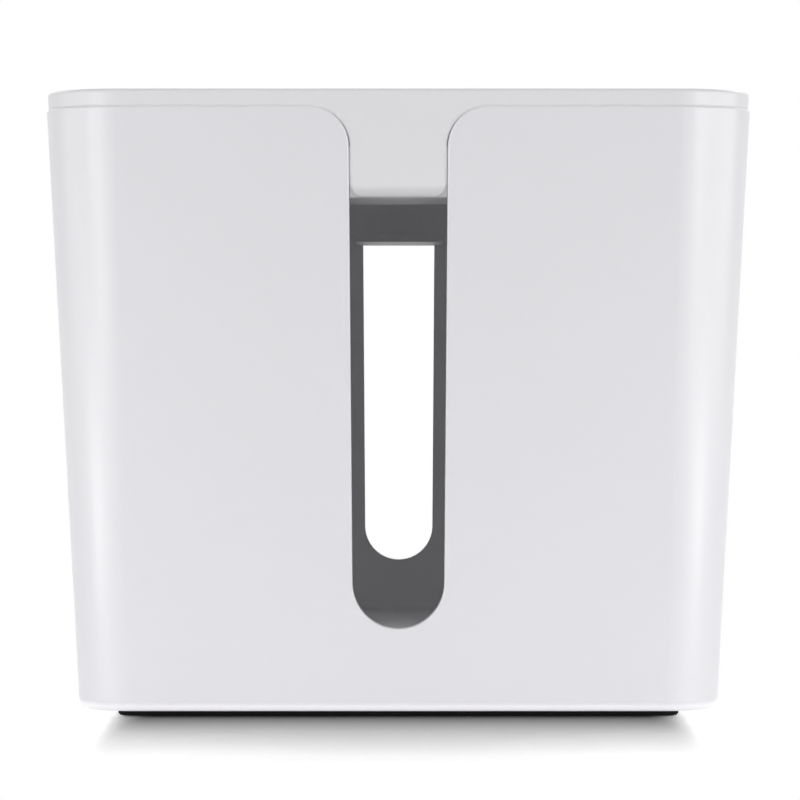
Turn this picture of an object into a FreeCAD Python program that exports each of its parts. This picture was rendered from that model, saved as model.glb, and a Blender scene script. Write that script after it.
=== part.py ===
import FreeCAD, Part
import math
import os

# A small cable management box: a drafted, open-topped case with a full-height cable slot
# in each end wall, a lift-off lid whose end tongues plug the mouths of the slots, and two
# rubber foot strips let into the underside.
# Millimetres. The origin is on the table, under the middle of the box. The length runs
# along Y, the width along X, and +Z is up.

# Case, measured over its outer faces at the rim
rim_length = 235.0
rim_width = 130.0
rim_corner_radius = 13.6
base_corner_radius = 10.0
wall_lean_degrees = 3.0
case_height = 110.4
wall_thickness = 2.4
floor_thickness = 2.6
base_edge_radius = 2.0
inside_floor_radius = 1.6
case_lip_radius = 0.3

# Cable slot through both end walls, open at the rim
slot_half_width = 9.0
slot_flare_radius = 7.2
slot_side_lean_degrees = 0.43
slot_bottom_above_table = 16.4

# Lid
lid_rim_height = 3.2
lid_set_back = 0.35
lid_top_radius = 0.6
lid_lip_chamfer = 0.3
lid_pocket_depth = 0.8
skirt_depth = 7.5
skirt_thickness = 1.6
skirt_clearance = 0.4
skirt_lead_in = 0.5
skirt_band_margin = 3.0

# Tongues of the lid, one in each slot
tongue_depth = 16.45
tongue_gap = 0.25
tongue_corner_radius = 2.1
tongue_curl_radius = 2.7
tongue_curl_degrees = 60.0

# Core behind each tongue below its flare: square-cornered, closer to the slot's sides
core_set_back = 0.4
core_gap = 0.1

# Angle across the inner side of each core, wider than the slot: upright band, level flange
band_half_width = 11.0
band_height = 8.9
band_thickness = 1.6
band_corner_radius = 0.8
band_clearance = 0.35
flange_reach = 22.6
flange_thickness = 1.6

# Foot strips, one under each end
foot_width = 12.0
foot_proud = 1.1
foot_recess_depth = 1.0
foot_corner_radius = 3.0
foot_edge_chamfer = 0.3
foot_seat_gap = 0.15
foot_end_margin = 2.0
foot_side_margin = 5.4

# Cutting tools run this far past the faces that they cut
overrun = 2.0
# An edge closer than this to a line or plane lies on it
pick_distance = 0.05

lean = math.radians(wall_lean_degrees)
slot_lean = math.radians(slot_side_lean_degrees)
tongue_curl = math.radians(tongue_curl_degrees)
base_height = foot_proud
rim_height = base_height + case_height
floor_height = base_height + floor_thickness
lid_height = rim_height + lid_rim_height
tongue_end_height = rim_height - tongue_depth
origin = FreeCAD.Vector(0, 0, 0)
across = FreeCAD.Vector(1, 0, 0)
along = FreeCAD.Vector(0, 1, 0)
up = FreeCAD.Vector(0, 0, 1)


def lean_in(height):
    """How far each wall has leaned inwards from the rim at a height."""
    return (rim_height - height) * math.tan(lean)


def end_point(height, inward):
    """Point of the +Y end wall's outer face at a height, in the middle plane, moved inwards."""
    return along * (rim_length / 2 - lean_in(height) - inward) + up * height


def rounded_edges(length, width, radius, height):
    """Edges of a round-cornered rectangle on the Z axis: corner arc and straight side in turn."""
    quarter = math.pi / 2
    arcs = []
    for corner, (side_x, side_y) in enumerate([(1, 1), (-1, 1), (-1, -1), (1, -1)]):
        centre = FreeCAD.Vector(side_x * (width / 2 - radius), side_y * (length / 2 - radius), height)
        points = []
        for share in (0, 0.5, 1):
            angle = quarter * (corner + share)
            points.append(centre + FreeCAD.Vector(math.cos(angle), math.sin(angle), 0) * radius)
        arcs.append(Part.Arc(*points).toShape())
    edges = []
    for here, after in zip(arcs, arcs[1:] + arcs[:1]):
        edges.append(here)
        edges.append(Part.makeLine(here.lastVertex().Point, after.firstVertex().Point))
    return edges


def corner_radius(height):
    """Radius of the case's round corners at a height, over its outer faces."""
    share = (height - base_height) / case_height
    return base_corner_radius + (rim_corner_radius - base_corner_radius) * share


def case_edges(height, inward):
    """Outline of the case's taper at a height, moved inwards by a wall or a gap."""
    narrower = 2 * (lean_in(height) + inward)
    radius = corner_radius(height) - inward
    return rounded_edges(rim_length - narrower, rim_width - narrower, radius, height)


def corner_cone(low, high, inward):
    """Cone that rounds the +X +Y corner between two heights, touching both leaning walls."""
    axis_points = []
    side_points = []
    end_points = []
    for height in (low - overrun, high + overrun):
        from_rim = lean_in(height) + corner_radius(height)
        centre = FreeCAD.Vector(rim_width / 2 - from_rim, rim_length / 2 - from_rim, height)
        radius = (corner_radius(height) - inward) * math.cos(lean)
        axis_points.append(centre)
        side_points.append(centre + (across * math.cos(lean) - up * math.sin(lean)) * radius)
        end_points.append(centre + (along * math.cos(lean) - up * math.sin(lean)) * radius)
    axis = axis_points[1] - axis_points[0]
    to_side = axis.cross(side_points[0] - axis_points[0])
    to_end = axis.cross(end_points[0] - axis_points[0])
    turn = math.degrees(to_side.getAngle(to_end))
    cone = Part.makeLine(*side_points).revolve(axis_points[0], axis, turn)
    quadrant = Part.makeBox(rim_width, rim_length, high - low, up * low)
    return cone.common(quadrant).Faces[0]


def tapered_block(low, high, inward):
    """Solid between two heights inside the case's taper: flat sides and conical corners."""
    corner = corner_cone(low, high, inward)
    lines = [edge for edge in corner.Edges if isinstance(edge.Curve, Part.Line)]
    lines.sort(key=lambda line: line.CenterOfMass.x)
    faces = [corner]
    # Each line where the cone leaves a wall bounds half of that wall, up to the middle plane
    for line, normal in zip(lines, (across, along)):
        corner_side = [vertex.Point for vertex in line.Vertexes]
        middle_side = [point - normal * point.dot(normal) for point in reversed(corner_side)]
        faces.append(Part.Face(Part.makePolygon(corner_side + middle_side, True)))
    for normal in (across, along):
        faces += [face.mirror(origin, normal) for face in faces]
    walls = Part.Compound(faces)
    for height in (low, high):
        faces.append(Part.Face(Part.Wire(Part.__sortEdges__(edges_at(walls, height)))))
    shell = Part.Shell(faces)
    shell.sewShape()
    return Part.Solid(shell).removeSplitter()


def edges_at(shape, height):
    """The edges of a shape that lie in one horizontal plane."""
    found = []
    for edge in shape.Edges:
        box = edge.BoundBox
        if abs(box.ZMin - height) < pick_distance and abs(box.ZMax - height) < pick_distance:
            found.append(edge)
    return found


def outer_rim_edges(shape, inward):
    """The edges along the taper's outline at the rim. A fillet on them runs on into the slots."""
    outline = Part.Wire(case_edges(rim_height, inward))
    found = []
    for edge in edges_at(shape, rim_height):
        first, last = edge.ParameterRange
        middle = Part.Vertex(edge.valueAt((first + last) / 2))
        if outline.distToShape(middle)[0] < pick_distance:
            found.append(edge)
    return found


def at_other_end(shape):
    """Copy of a shape turned half round the box's upright axis."""
    copy = shape.copy()
    copy.rotate(origin, up, 180)
    return copy


def arc_between(centre, radius, start, end):
    """Short arc from one point to another on a circle in the XZ or YZ plane."""
    middle = centre + (start + end - centre * 2).normalize() * radius
    return Part.Arc(start, middle, end).toShape()


def slot_outward():
    """Direction square to the slot's leaning side, away from the slot, for x > 0."""
    return across * math.cos(slot_lean) - up * math.sin(slot_lean)


def flare(gap):
    """Arc from the side of the slot, or of a tongue inside it by a gap, up to the rim's plane."""
    radius = slot_flare_radius + gap
    centre = across * (slot_half_width + slot_flare_radius) + up * (rim_height - radius)
    return arc_between(centre, radius, centre - slot_outward() * radius, centre + up * radius)


def slot_side(gap, height):
    """Point at a height on the side of the slot, or of a plug inside it by a gap, for x > 0."""
    outward = slot_outward()
    reach = flare(gap).firstVertex().Point.dot(outward)
    return across * ((reach - height * outward.z) / outward.x) + up * height


def mirrored_face(edges, top_height):
    """Face from edges for x > 0, listed from the bottom up, closed above them and mirrored."""
    top = edges[-1].lastVertex().Point
    raised = FreeCAD.Vector(top.x, 0, top_height)
    middle = up * top_height
    half = edges + [Part.makeLine(top, raised), Part.makeLine(raised, middle)]
    other = [edge.mirror(origin, across) for edge in half]
    return Part.Face(Part.Wire(Part.__sortEdges__(half + other)))


def slot_cutter():
    """Straight prism through both end walls, with the slot's round bottom and flared mouth."""
    flare_edge = flare(0)
    start = flare_edge.firstVertex().Point
    outward = slot_outward()
    to_bottom = start - up * slot_bottom_above_table
    radius = to_bottom.dot(outward) / (1 + outward.z)
    centre = up * (slot_bottom_above_table + radius)
    side_end = centre + outward * radius
    edges = [
        arc_between(centre, radius, centre - up * radius, side_end),
        Part.makeLine(side_end, start),
        flare_edge,
    ]
    profile = mirrored_face(edges, rim_height + overrun)
    reach = rim_length / 2 + overrun
    profile.translate(along * -reach)
    return profile.extrude(along * 2 * reach)


def foot_block(low, high, grow):
    """Flat strip across the box under its +Y end, between two heights."""
    in_from_rim = lean_in(base_height) + base_edge_radius
    length = rim_width - 2 * (in_from_rim + foot_side_margin)
    place = rim_length / 2 - in_from_rim - foot_end_margin - foot_width / 2
    edges = rounded_edges(foot_width + 2 * grow, length + 2 * grow, foot_corner_radius + grow, low)
    block = Part.Face(Part.Wire(edges)).extrude(up * (high - low))
    block.translate(along * place)
    return block


def make_body_shell():
    """Case: tapered shell, slotted at both ends, with two recesses for the foot strips."""
    outer = tapered_block(base_height, rim_height, 0)
    outer = outer.makeFillet(base_edge_radius, edges_at(outer, base_height))
    cavity = tapered_block(floor_height, rim_height + overrun, wall_thickness)
    cavity = cavity.makeFillet(inside_floor_radius, edges_at(cavity, floor_height))
    recess = foot_block(base_height - overrun, base_height + foot_recess_depth, foot_seat_gap)
    shell = outer.cut([cavity, slot_cutter(), recess, at_other_end(recess)])
    return shell.makeFillet(case_lip_radius, outer_rim_edges(shell, 0))


def make_foot_strip():
    """Rubber strip under the +Y end, seated against the top of its recess."""
    strip = foot_block(0, foot_proud + foot_recess_depth, 0)
    return strip.makeChamfer(foot_edge_chamfer, edges_at(strip, 0))


def curled_bar(set_back):
    """Bar along X inside the +Y slot's mouth, its outer face set back, its lower edge curled in."""
    top_height = rim_height + lid_pocket_depth
    inward = wall_thickness + band_clearance
    turn = lean + tongue_curl
    curl_rise = tongue_curl_radius * (math.sin(turn) - math.sin(lean))
    curl_top = end_point(tongue_end_height + curl_rise, set_back)
    centre = curl_top - (along * math.cos(lean) - up * math.sin(lean)) * tongue_curl_radius
    curl_end = centre + (along * math.cos(turn) - up * math.sin(turn)) * tongue_curl_radius
    inner_end = end_point(tongue_end_height, inward)
    inner_top = end_point(top_height, inward)
    outer_top = end_point(top_height, set_back)
    edges = [
        Part.makeLine(outer_top, curl_top),
        arc_between(centre, tongue_curl_radius, curl_top, curl_end),
        Part.makeLine(curl_end, inner_end),
        Part.makeLine(inner_end, inner_top),
        Part.makeLine(inner_top, outer_top),
    ]
    section = Part.Face(Part.Wire(edges))
    half_reach = slot_half_width + slot_flare_radius + overrun
    section.translate(across * -half_reach)
    return section.extrude(across * 2 * half_reach)


def make_tongue():
    """Tongue in the mouth of the +Y slot: flared at the rim, with round lower corners."""
    corner = slot_side(tongue_gap, tongue_end_height)
    flare_edge = flare(tongue_gap)
    edges = [
        Part.makeLine(up * tongue_end_height, corner),
        Part.makeLine(corner, flare_edge.firstVertex().Point),
        flare_edge,
    ]
    plug = mirrored_face(edges, rim_height + lid_pocket_depth).extrude(along * rim_length)
    corners = [edge for edge in edges_at(plug, tongue_end_height) if edge.BoundBox.XLength < pick_distance]
    return curled_bar(lid_set_back).common(plug.makeFillet(tongue_corner_radius, corners))


def make_core():
    """Core behind the +Y tongue below its flare, straight-sided down to square corners."""
    heights = (tongue_end_height, rim_height - slot_flare_radius)
    corners = [slot_side(core_gap, height) for height in heights]
    corners += [FreeCAD.Vector(-corner.x, 0, corner.z) for corner in reversed(corners)]
    plug = Part.Face(Part.makePolygon(corners, True)).extrude(along * rim_length)
    return curled_bar(lid_set_back + core_set_back).common(plug)


def make_angle():
    """Angle inside the +Y end wall: a band behind the core and a flange inwards from its foot."""
    outer_side = wall_thickness + band_clearance
    inner_side = outer_side + band_thickness
    start = end_point(tongue_end_height, inner_side + flange_reach)
    corner = start - across * band_half_width
    prism = Part.makeBox(2 * band_half_width, rim_length / 2 - start.y, band_height, corner)
    lengthwise = [edge for edge in prism.Edges if edge.BoundBox.YLength > flange_reach]
    prism = prism.makeFillet(band_corner_radius, lengthwise)
    inside_wall = tapered_block(tongue_end_height - overrun, rim_height, outer_side)
    over_flange = tongue_end_height + flange_thickness
    hollow = tapered_block(over_flange, rim_height + overrun, inner_side)
    return prism.common(inside_wall).cut(hollow)


def make_skirt():
    """Upright locating skirt inside the case's rim, left out across both slots."""
    bottom = rim_height - skirt_depth
    rise = skirt_depth + lid_pocket_depth
    offset = wall_thickness + skirt_clearance
    outer = Part.Face(Part.Wire(case_edges(bottom, offset))).extrude(up * rise)
    outer = outer.makeChamfer(skirt_lead_in, edges_at(outer, bottom))
    inner = Part.Face(Part.Wire(case_edges(bottom, offset + skirt_thickness))).extrude(up * rise)
    half_break = band_half_width + skirt_band_margin
    corner = FreeCAD.Vector(-half_break, -rim_length / 2, bottom)
    slot_break = Part.makeBox(2 * half_break, rim_length, rise, corner)
    return outer.cut([inner, slot_break])


def make_lid():
    """Lid: plate on the rim, its skirt, two tongues, their cores and angles, in one moulding."""
    plate = tapered_block(rim_height, lid_height, lid_set_back)
    plate = plate.makeFillet(lid_top_radius, edges_at(plate, lid_height))
    skirt_inside = wall_thickness + skirt_clearance + lean_in(rim_height - skirt_depth) + skirt_thickness
    plate = plate.cut(tapered_block(rim_height - overrun, rim_height + lid_pocket_depth, skirt_inside))
    end_pieces = [make_tongue(), make_core(), make_angle()]
    end_pieces += [at_other_end(piece) for piece in end_pieces]
    lid = plate.fuse([make_skirt()] + end_pieces).removeSplitter()
    return lid.makeChamfer(lid_lip_chamfer, outer_rim_edges(lid, lid_set_back))


os.makedirs("parts", exist_ok=True)
foot_strip = make_foot_strip()
nodes = {
    "body_shell": make_body_shell(),
    "lid": make_lid(),
    "front_foot_strip": at_other_end(foot_strip),
    "rear_foot_strip": foot_strip,
}
for name, shape in nodes.items():
    print(name, len(shape.Solids), "solid", round(shape.Volume), "mm3", "valid", shape.isValid())
    shape.Solids[0].exportStep(os.path.join("parts", name + ".step"))
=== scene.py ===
import math

import bmesh
import bpy
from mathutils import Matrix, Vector


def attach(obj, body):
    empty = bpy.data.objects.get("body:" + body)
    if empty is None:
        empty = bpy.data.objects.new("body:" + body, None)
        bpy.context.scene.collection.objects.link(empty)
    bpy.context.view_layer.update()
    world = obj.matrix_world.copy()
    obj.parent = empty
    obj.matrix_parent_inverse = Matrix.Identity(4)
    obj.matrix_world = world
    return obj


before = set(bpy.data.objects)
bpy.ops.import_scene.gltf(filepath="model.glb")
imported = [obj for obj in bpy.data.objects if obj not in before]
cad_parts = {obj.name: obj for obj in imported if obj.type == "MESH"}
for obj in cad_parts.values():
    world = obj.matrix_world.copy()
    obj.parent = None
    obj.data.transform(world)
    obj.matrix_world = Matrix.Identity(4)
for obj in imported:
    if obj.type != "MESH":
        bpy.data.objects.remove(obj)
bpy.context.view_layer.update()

# Case
# One injection moulding in white polypropylene, drafted 3 degrees so that it leaves its
# mould. The tool is lightly spark-eroded, which gives the satin, very finely grained skin.


class Wire:
    """A value in a material. Arithmetic on it adds Math nodes, and node() adds any other."""

    def __init__(self, socket):
        self.socket = socket
        self.tree = socket.id_data

    def node(self, kind, settings, values, output=0):
        made = self.tree.nodes.new(kind)
        for name, value in settings.items():
            setattr(made, name, value)
        for name, value in values.items():
            if isinstance(value, Wire):
                self.tree.links.new(value.socket, made.inputs[name])
            else:
                made.inputs[name].default_value = value
        return Wire(made.outputs[output])

    def math(self, operation, first, second):
        return self.node("ShaderNodeMath", {"operation": operation}, {0: first, 1: second})

    def __add__(self, other):
        return self.math("ADD", self, other)

    __radd__ = __add__

    def __sub__(self, other):
        return self.math("SUBTRACT", self, other)

    def __rsub__(self, other):
        return self.math("SUBTRACT", other, self)

    def __mul__(self, other):
        return self.math("MULTIPLY", self, other)

    __rmul__ = __mul__


def surface(name, **uniform):
    """New material whose Principled shader has these values all over."""
    material = bpy.data.materials.new(name)
    material.use_nodes = True
    shader = material.node_tree.nodes["Principled BSDF"]
    for socket, value in uniform.items():
        shader.inputs[socket.replace("_", " ")].default_value = value
    return material, shader


def object_point(material):
    """The point being shaded, in the object's own metres."""
    coordinates = material.node_tree.nodes.new("ShaderNodeTexCoord")
    return Wire(coordinates.outputs["Object"])


def noise(point, size, detail=2.0, roughness=0.5):
    """Soft noise from 0 to 1 whose lumps are about size metres apart."""
    values = {"Vector": point, "Scale": 1 / size, "Detail": detail, "Roughness": roughness}
    return point.node("ShaderNodeTexNoise", {}, values)


def between(value, low=-1.0, high=1.0, soft=0.0001):
    """1 where a value in metres lies between two limits, falling to 0 over a soft edge outside."""
    clamped = {"operation": "MULTIPLY_ADD", "use_clamp": True}
    rise = value.node("ShaderNodeMath", clamped, {0: value, 1: 1 / soft, 2: 1 - low / soft})
    fall = value.node("ShaderNodeMath", clamped, {0: value, 1: -1 / soft, 2: 1 + high / soft})
    return rise * fall


def depth_inside(x, y, z):
    """How deep a point lies inside the case's leaning, round-cornered outer faces, in metres."""
    corner_at_table = 0.01
    corner_growth = 0.0326
    lean_degrees = 3.0
    case_corners = [Vector(place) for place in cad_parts["body_shell"].bound_box]
    half_width, half_length, rim = (max(place[axis] for place in case_corners) for axis in range(3))
    lean_in = (rim - z) * math.tan(math.radians(lean_degrees))
    corner = corner_at_table + corner_growth * z
    squared = 0.0
    for offset, half in ((x, half_width), (y, half_length)):
        past = offset.math("ABSOLUTE", offset, 0.0) + lean_in + corner - half
        past = past.math("MAXIMUM", past, 0.0)
        squared = past * past + squared
    return corner - squared.math("SQRT", squared, 0.0)


def moulded_white(name, colour, roughness):
    """White moulded plastic: eroded grain, a faint flow mottle and slow sheen changes.

    Painted light in the emission: the inner faces glow a little, as painted light for daylight
    soaking through the thin walls; the narrow groove between lid and case glows more, as painted
    light that lifts its shade; and the lowest edge glows as painted bounce light from the table.
    """
    grain_size = 0.00032
    grain_depth = 0.000004
    mottle_size = 0.021
    mottle_tint = 0.006
    mottle_sheen = 0.05
    flow_size = 0.075
    flow_sheen = 0.08
    # Painted light: emission levels for the inner faces, the groove between lid and case and the
    # lowest edge.
    painted_inner_light = 0.019
    wall_middle = 0.0015
    wall_fade = 0.0004
    painted_groove_light = 0.07
    groove_depths = (0.00042, 0.0011)
    groove_depth_fade = 0.00006
    groove_heights = (0.0975, 0.1118)
    groove_height_fade = 0.0004
    painted_table_light = 0.2
    table_glow_height = 0.002
    table_glow_fade = 0.0009
    skin_depth = 0.0022
    skin_fade = 0.0002
    material, shader = surface(name, IOR=1.54)
    links = material.node_tree.links
    point = object_point(material)
    parts = point.node("ShaderNodeSeparateXYZ", {}, {0: point}).socket.node.outputs
    x, y, z = (Wire(part) for part in parts)
    mottle = noise(point, mottle_size) - 0.5
    flow = noise(point, flow_size, detail=1.0) - 0.5
    paler = tuple((1 + mottle_tint) * part for part in colour) + (1,)
    darker = tuple((1 - mottle_tint) * part for part in colour) + (1,)
    mix = {"Factor": 0.5 + 0.5 * mottle, 6: darker, 7: paler}
    tint = point.node("ShaderNodeMix", {"data_type": "RGBA"}, mix, output=2)
    links.new(tint.socket, shader.inputs["Base Color"])
    sheen = roughness + mottle_sheen * mottle + flow_sheen * flow
    links.new(sheen.socket, shader.inputs["Roughness"])
    grain = noise(point, grain_size, detail=1.0)
    bump = {"Strength": 1.0, "Distance": grain_depth, "Height": grain}
    links.new(point.node("ShaderNodeBump", {}, bump).socket, shader.inputs["Normal"])
    depth = depth_inside(x, y, z)
    inside = between(depth, low=wall_middle, soft=wall_fade)
    groove = between(depth, *groove_depths, groove_depth_fade)
    groove = groove * between(z, *groove_heights, groove_height_fade)
    skin = between(depth, high=skin_depth, soft=skin_fade)
    painted_table_light_mask = between(z, high=table_glow_height, soft=table_glow_fade) * skin
    # Painted light: the emission makes the inner faces, the groove and the lowest edge glow, though
    # none of them is a lamp.
    glow = painted_inner_light * inside + painted_groove_light * groove + painted_table_light * painted_table_light_mask
    tone = point.node("ShaderNodeCombineXYZ", {}, {0: glow, 1: glow, 2: glow})
    links.new(tone.socket, shader.inputs["Emission Color"])
    shader.inputs["Emission Strength"].default_value = 1.0
    return material


def dress(node, material):
    """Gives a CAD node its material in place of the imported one."""
    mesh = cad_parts[node].data
    mesh.materials.clear()
    mesh.materials.append(material)


case_white = moulded_white("case_satin_white", (0.82, 0.81, 0.84), 0.34)
dress("body_shell", case_white)

# Lid
# A second moulding in the same white. Its top plate lies on the case's rim, a skirt inside
# the rim locates it, and a tongue at each end plugs the mouth of the slot.


def moulded_lid_white():
    """The lid's white, with painted shade darkening it round the tongues' curled edges, and more
    painted shade underneath them.
    """
    curl_top = 0.0963
    curl_fade = 0.0009
    curl_shade = 0.17
    underside_top = 0.09512
    underside_shade = 0.16
    underside_roughening = 0.12
    material = moulded_white("lid_satin_white", (0.815, 0.81, 0.83), 0.36)
    shader = material.node_tree.nodes["Principled BSDF"]
    links = material.node_tree.links
    tint = Wire(shader.inputs["Base Color"].links[0].from_socket)
    sheen = Wire(shader.inputs["Roughness"].links[0].from_socket)
    point = object_point(material)
    z = point.node("ShaderNodeSeparateXYZ", {}, {0: point}, output=2)
    curled = between(z, high=curl_top, soft=curl_fade)
    below = between(z, high=underside_top)
    # Painted shade: the colour is darkened round the tongues' curled lower edges, and more under
    # them.
    shade = {0: tint, "Scale": 1 - curl_shade * curled - underside_shade * below}
    shaded = point.node("ShaderNodeVectorMath", {"operation": "SCALE"}, shade)
    links.new(shaded.socket, shader.inputs["Base Color"])
    links.new((sheen + underside_roughening * below).socket, shader.inputs["Roughness"])
    return material


lid_white = moulded_lid_white()
dress("lid", lid_white)

# Webs behind the tongues
# Part of the lid's moulding: a thin upright web from the band behind each tongue to the top
# plate, which keeps daylight out of the gaps beside the tongue.


def make_web(name, side):
    half_width = 0.0107
    inner = 0.1126
    outer = 0.1136
    bottom = 0.1032
    top = 0.1126
    shape = bmesh.new()
    bmesh.ops.create_cube(shape, size=1.0)
    size = Vector((2 * half_width, outer - inner, top - bottom))
    middle = Vector((0.0, side * (inner + outer) / 2, (top + bottom) / 2))
    bmesh.ops.scale(shape, vec=size, verts=shape.verts)
    bmesh.ops.translate(shape, vec=middle, verts=shape.verts)
    mesh = bpy.data.meshes.new(name)
    shape.to_mesh(mesh)
    shape.free()
    mesh.materials.append(lid_white)
    web = bpy.data.objects.new(name, mesh)
    bpy.context.scene.collection.objects.link(web)
    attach(web, "lid")


make_web("front_tongue_web", -1)
make_web("rear_tongue_web", 1)

# Foot strips
# Black rubber, die-cut with bevelled edges and pressed into the recesses under the case.
# The skin is matt and faintly leathery, with paler bloom where it has been handled.


def foot_rubber():
    bloom_size = 0.009
    bloom_sheen = 0.12
    pore_size = 0.0005
    pore_depth = 0.00003
    roughness = 0.72
    black = (0.005, 0.005, 0.0055, 1)
    bloomed = (0.01, 0.01, 0.011, 1)
    material, shader = surface("foot_black_rubber", IOR=1.5, Specular_IOR_Level=0.1)
    links = material.node_tree.links
    point = object_point(material)
    bloom = noise(point, bloom_size, detail=3.0)
    mix = {"Factor": bloom, 6: black, 7: bloomed}
    tint = point.node("ShaderNodeMix", {"data_type": "RGBA"}, mix, output=2)
    links.new(tint.socket, shader.inputs["Base Color"])
    links.new((roughness + bloom_sheen * bloom).socket, shader.inputs["Roughness"])
    pores = noise(point, pore_size, detail=3.0)
    bump = {"Strength": 1.0, "Distance": pore_depth, "Height": pores}
    links.new(point.node("ShaderNodeBump", {}, bump).socket, shader.inputs["Normal"])
    return material


rubber = foot_rubber()
for strip in ("front_foot_strip", "rear_foot_strip"):
    dress(strip, rubber)

# Table
# A white sheet under the box. For the camera and mirrors its colour carries a painted shadow that
# deepens the box's real shadow towards the foot strips and fades out a few centimetres before each
# end, and painted light that makes it plain white beside the strips, under the case's corners.


def seen_directly(tree):
    """1 for what the camera, a mirror or glass sees, 0 for light on its way to a surface."""
    path = tree.nodes.new("ShaderNodeLightPath")
    camera, glossy, through = (
        Wire(path.outputs[name])
        for name in ("Is Camera Ray", "Is Glossy Ray", "Is Transmission Ray")
    )
    return camera.math("MINIMUM", camera + glossy + through, 1.0)


def make_table():
    half = 0.45
    sheet_white = 0.85
    seen_white = 1.8
    # Painted shadow: the size and falloff of the shade painted into the sheet's seen colour near
    # the box.
    painted_shadow_half_width = 0.043
    painted_shadow_half_length = 0.1066
    painted_shadow_width = 0.0103
    painted_shadow_length = 0.065
    painted_shadow_falloff = 0.84
    faded_out = 1.15
    white_from = 0.0527
    white_from_fade = 0.0024
    strip_front = 0.109
    strip_front_fade = 0.002
    mesh = bpy.data.meshes.new("table")
    corners = [(-half, -half, 0), (half, -half, 0), (half, half, 0), (-half, half, 0)]
    mesh.from_pydata(corners, [], [(0, 1, 2, 3)])
    table = bpy.data.objects.new("table", mesh)
    bpy.context.scene.collection.objects.link(table)
    material = bpy.data.materials.new("table_white")
    material.use_nodes = True
    tree = material.node_tree
    point = object_point(material)
    seen = seen_directly(tree)
    parts = point.node("ShaderNodeSeparateXYZ", {}, {0: point}).socket.node.outputs
    x, y = (Wire(part).math("ABSOLUTE", Wire(part), 0.0) for part in parts[:2])
    # Painted shadow: the sheet's seen colour darkens towards the box, on top of its real shadow.
    across = (x - painted_shadow_half_width).math("MAXIMUM", x - painted_shadow_half_width, 0.0) * (1 / painted_shadow_width)
    along = (y - painted_shadow_half_length).math("MAXIMUM", y - painted_shadow_half_length, 0.0) * (1 / painted_shadow_length)
    across = across * across * across
    squared = across * across + along * along
    away = squared.math("SQRT", squared, 0.0)
    paler = away.math("POWER", away.math("MINIMUM", away, 1.0), painted_shadow_falloff) * seen_white
    tone = sheet_white + (paler - sheet_white) * seen
    colour = seen.node("ShaderNodeCombineXYZ", {}, {0: tone, 1: tone, 2: tone})
    diffuse = seen.node("ShaderNodeBsdfDiffuse", {}, {"Color": colour})
    glow = seen.node("ShaderNodeEmission", {}, {"Color": (1, 1, 1, 1), "Strength": 1.0})
    fading = {"Value": away, "From Min": 1.0, "From Max": faded_out}
    edge = away.node("ShaderNodeMapRange", {}, fading)
    # Painted light: beside the foot strips, under the case's corners, the sheet is drawn plain
    # white over its real shade.
    painted_white_beside_strip = between(x, low=white_from, soft=white_from_fade)
    painted_white_beside_strip = painted_white_beside_strip * between(y, high=strip_front, soft=strip_front_fade)
    share = edge.math("MAXIMUM", edge, painted_white_beside_strip) * seen
    whole = seen.node("ShaderNodeMixShader", {}, {0: share, 1: diffuse, 2: glow})
    tree.links.new(whole.socket, tree.nodes["Material Output"].inputs["Surface"])
    mesh.materials.append(material)


make_table()

# Studio
# A world that is white where it is seen and gives no light, soft boxes overhead, round the
# front and sides and high behind, and a low card before each round corner.


def make_world():
    world = bpy.data.worlds.new("studio")
    world.use_nodes = True
    bpy.context.scene.world = world
    tree = world.node_tree
    background = tree.nodes["Background"]
    background.inputs["Color"].default_value = (1, 1, 1, 1)
    tree.links.new(seen_directly(tree).socket, background.inputs["Strength"])


def soft_box(name, place, target, width, height, level):
    """Area light that gives about level times white on a surface facing it at the target."""
    data = bpy.data.lights.new(name, "AREA")
    data.shape = "RECTANGLE"
    data.size = width
    data.size_y = height
    reach = (Vector(target) - Vector(place)).length
    data.energy = level * math.pi * math.pi * reach * reach
    lamp = bpy.data.objects.new(name, data)
    lamp.location = place
    lamp.rotation_euler = (Vector(target) - Vector(place)).to_track_quat("-Z", "Y").to_euler()
    lamp.visible_camera = False
    bpy.context.scene.collection.objects.link(lamp)


make_world()
box_middle = (0.0, 0.0, 0.06)
soft_box("overhead", (0.0, -0.25, 1.5), box_middle, 1.4, 0.7, 0.29)
soft_box("left_front", (-0.7, -1.096, 0.16), box_middle, 0.5, 0.32, 0.24)
soft_box("right_front", (0.72, -1.083, 0.16), box_middle, 0.48, 0.32, 0.22)
soft_box("left_side", (-1.222, -0.445, 0.16), box_middle, 1.2, 0.32, 0.2)
soft_box("right_side", (1.236, -0.402, 0.16), box_middle, 1.3, 0.32, 0.3)
soft_box("rear_left", (-0.75, 0.9, 0.95), box_middle, 0.7, 0.5, 0.17)
soft_box("rear_right", (0.75, 0.9, 0.95), box_middle, 0.7, 0.5, 0.2)
soft_box("left_card", (-0.221, -0.22, 0.012), (-0.055, -0.108, 0.012), 0.09, 0.024, 0.185)
soft_box("right_card", (0.221, -0.22, 0.012), (0.055, -0.108, 0.012), 0.09, 0.024, 0.165)

# Camera
# A long lens at half the box's height, square to the end wall.

tilt_degrees = 0.492
camera_data = bpy.data.cameras.new("camera")
camera_data.lens = 148.6
camera_data.sensor_width = 36.0
camera_data.clip_start = 0.01
camera_data.clip_end = 50.0
camera = bpy.data.objects.new("camera", camera_data)
camera.location = (0.0003, -0.7155, 0.0634)
camera.rotation_euler = (math.radians(90 - tilt_degrees), 0, 0)
bpy.context.scene.collection.objects.link(camera)
bpy.context.scene.camera = camera
bpy.context.scene.view_settings.view_transform = "Standard"
